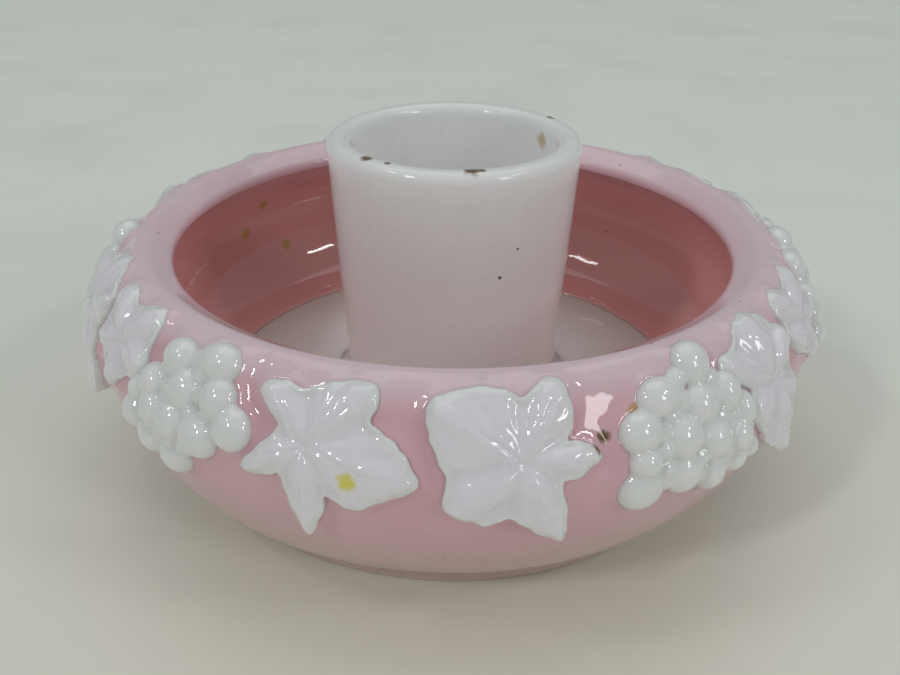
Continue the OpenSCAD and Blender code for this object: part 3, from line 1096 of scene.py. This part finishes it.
def buildLeaf(kind, turn):
    leaf = leaves[kind]
    seed = 31 + turn + 7 * list(leaves).index(kind)
    u, s, rise, faces, inside = gridSolid(
        leaf["line"], leafShape["grid"],
        lambda pu, ps, pd: leafHeight(leaf, pu, ps, pd, seed),
        leafShape["depth"],
    )
    rise = rise + np.where(rise > 0, hangOut(s) * np.clip(rise / 0.5, 0, 1), 0)
    points = placeOnWall(u, s, rise, leaf["bearing"] + 120 * turn)
    mask = 1 - np.clip(inside / leafShape["paleEdge"], 0, 1)
    node = kind + "_" + str(turn + 1)
    piece = makeObject(node + "_moulding", points, faces, whiteLeaf, {"depthMask": mask})
    handOver(piece, "milk_glass_leaf", node)


def buildBunch(kind, turn):
    k = grapeShape
    bunch = bunches[kind]
    draw = np.random.default_rng(71 + turn + 5 * list(bunches).index(kind))
    bearing = bunch["bearing"] + 120 * turn
    sheet = bmesh.new()
    for cu, cs, wide, tall in bunch["map"]:
        wide *= draw.uniform(*k["plump"])
        tall *= draw.uniform(*k["plump"])
        centre = pointOnWall(cu, cs, k["lift"], bearing)
        beside = pointOnWall(cu + 0.1, cs, k["lift"], bearing)
        outward = pointOnWall(cu, cs, k["lift"] + 0.1, bearing)
        x = (beside - centre).normalized()
        z = (outward - centre).normalized()
        y = z.cross(x).normalized()
        x = y.cross(z).normalized()
        turnTo = Matrix((x, y, z)).transposed().to_4x4()
        size = Matrix.Diagonal((wide, tall, k["out"] * draw.uniform(*k["outSpread"]), 1))
        stretch = Matrix.Translation(centre) @ turnTo @ size
        bmesh.ops.create_uvsphere(sheet, u_segments=28, v_segments=18, radius=1.0, matrix=stretch)
    # small swellings between neighbours fill the seams
    spots = bunch["map"]
    for i in range(len(spots)):
        for j in range(i + 1, len(spots)):
            if np.hypot(*(spots[i, :2] - spots[j, :2])) < k["barReach"]:
                middle = (spots[i, :2] + spots[j, :2]) / 2
                shift = Matrix.Translation(pointOnWall(*middle, k["barLift"], bearing))
                bmesh.ops.create_uvsphere(
                    sheet, u_segments=16, v_segments=10, radius=k["barRadius"], matrix=shift
                )
    rough = bpy.data.meshes.new(kind + "Rough")
    sheet.to_mesh(rough)
    sheet.free()
    carrier = bpy.data.objects.new(kind + "Rough", rough)
    bpy.context.scene.collection.objects.link(carrier)
    merge = carrier.modifiers.new("merge", "REMESH")
    merge.mode = "VOXEL"
    merge.voxel_size = k["voxel"]
    ease = carrier.modifiers.new("ease", "SMOOTH")
    ease.factor = 0.5
    ease.iterations = k["smooth"]
    done = carrier.evaluated_get(bpy.context.evaluated_depsgraph_get()).to_mesh()
    points = np.zeros(len(done.vertices) * 3)
    done.vertices.foreach_get("co", points)
    points = points.reshape(-1, 3)
    faces = [tuple(p.vertices) for p in done.polygons]
    carrier.to_mesh_clear()
    bpy.data.objects.remove(carrier)
    radial = np.hypot(points[:, 0], points[:, 1])
    order = np.argsort(wallSmooth[:, 1])
    ground = np.interp(points[:, 2], wallSmooth[order, 1], wallSmooth[order, 0])
    mask = 1 - np.clip((radial - ground - k["paleFrom"]) / k["paleOver"], 0, 1)
    node = kind + "_" + str(turn + 1)
    piece = makeObject(node + "_moulding", points, faces, whiteGrape, {"depthMask": mask})
    handOver(piece, "milk_glass_grape", node)


for turn in range(3):
    for kind in leaves:
        buildLeaf(kind, turn)
    for kind in bunches:
        buildBunch(kind, turn)
    print("relief band, third", turn + 1, "made")


# table, light and camera

tableSettings = {
    "size": 3.0,
    "middle": (0, 0.6, 0),
    "near": (0.90, 0.87, 0.77, 1),
    "far": (0.92, 0.98, 0.91, 1),
    "nearEnds": -0.69,
    "farStarts": -0.52,
    "patches": (0.62, 0.60, 0.52, 1),
    "patchStrength": 0.16,
    "patchScale": 30,
    "roughness": 0.38,
}


def tableMaterial():
    k = tableSettings
    material = bpy.data.materials.new("paleTable")
    material.use_nodes = True
    tree = material.node_tree
    shader = tree.nodes["Principled BSDF"]
    place = addNode(tree, "ShaderNodeTexCoord", -1000, 0)
    split = addNode(tree, "ShaderNodeSeparateXYZ", -800, 0)
    link(tree, place.outputs["Object"], split.inputs[0])
    depth = mapRange(tree, split.outputs[1], k["nearEnds"], k["farStarts"], 0, 1, -600, 0)
    colour = mixColour(tree, depth, k["near"], k["far"], -400, 0)
    grain = addNode(tree, "ShaderNodeTexNoise", -800, -300)
    grain.inputs["Scale"].default_value = k["patchScale"]
    grain.inputs["Detail"].default_value = 6
    link(tree, place.outputs["Object"], grain.inputs["Vector"])
    patch = mapRange(tree, grain.outputs["Fac"], 0.45, 0.75, 0, k["patchStrength"], -600, -300)
    worn = mixColour(tree, patch, colour, k["patches"], -200, 0)
    link(tree, worn, shader.inputs["Base Color"])
    shader.inputs["Roughness"].default_value = k["roughness"]
    return material


bpy.ops.mesh.primitive_plane_add(size=tableSettings["size"], location=tableSettings["middle"])
table = bpy.context.object
table.name = "studio_table"
table.data.materials.append(tableMaterial())

# bearings from the front and heights above the table in degrees, sizes in metres
lightRig = {
    "window": {"bearing": 47, "height": 25, "size": (0.42, 0.78), "power": 5.8},
    "windowStrip": {"bearing": 68, "height": 41, "size": (0.50, 0.12), "power": 3.5},
    "leftWindow": {"bearing": -44, "height": 38, "size": (0.22, 0.42), "power": 7.5},
    "leftStrip": {"bearing": -75, "height": 50, "size": (0.42, 0.15), "power": 2.5},
    "ceiling": {"bearing": 180, "height": 74, "size": (2.5, 1.9), "power": 9.5},
}
lightDistance = 2.5
lookAt = Vector((0, 0, 0.015))


def addLight(name, settings):
    a = math.radians(settings["bearing"])
    e = math.radians(settings["height"])
    direction = Vector((math.sin(a) * math.cos(e), -math.cos(a) * math.cos(e), math.sin(e)))
    lamp = bpy.data.lights.new(name, "AREA")
    lamp.shape = "RECTANGLE"
    lamp.size, lamp.size_y = settings["size"]
    lamp.energy = settings["power"]
    holder = bpy.data.objects.new(name, lamp)
    holder.location = lookAt + direction * lightDistance
    holder.rotation_euler = direction.to_track_quat("Z", "Y").to_euler()
    bpy.context.scene.collection.objects.link(holder)


for name, settings in lightRig.items():
    addLight(name, settings)

roomLight = {"colour": (0.90, 0.96, 0.93, 1), "strength": 0.30}
world = bpy.data.worlds.new("softRoom")
bpy.context.scene.world = world
world.use_nodes = True
world.node_tree.nodes["Background"].inputs[0].default_value = roomLight["colour"]
world.node_tree.nodes["Background"].inputs[1].default_value = roomLight["strength"]
bpy.context.scene.view_settings.view_transform = "Standard"

# target and distance in millimetres, angles in degrees
cameraSettings = {
    "target": (-0.19, 0.0, 11.31),
    "distance": 118.87,
    "height": 28.29,
    "roll": 0.72,
    "lens": 39.62,
}


def addCamera(settings):
    e = math.radians(settings["height"])
    roll = math.radians(settings["roll"])
    target = Vector(settings["target"]) * mm
    back = Vector((0, -math.cos(e), math.sin(e)))
    right = Vector((1, 0, 0))
    up = back.cross(right)
    tiltedRight = math.cos(roll) * right + math.sin(roll) * up
    tiltedUp = math.cos(roll) * up - math.sin(roll) * right
    data = bpy.data.cameras.new("viewCamera")
    data.lens = settings["lens"]
    data.sensor_width = 36
    data.clip_start = 0.005
    data.clip_end = 20
    holder = bpy.data.objects.new("viewCamera", data)
    axes = Matrix((tiltedRight, tiltedUp, back)).transposed().to_4x4()
    holder.matrix_world = Matrix.Translation(target + back * settings["distance"] * mm) @ axes
    bpy.context.scene.collection.objects.link(holder)
    bpy.context.scene.camera = holder


addCamera(cameraSettings)
print("table, light and camera made")
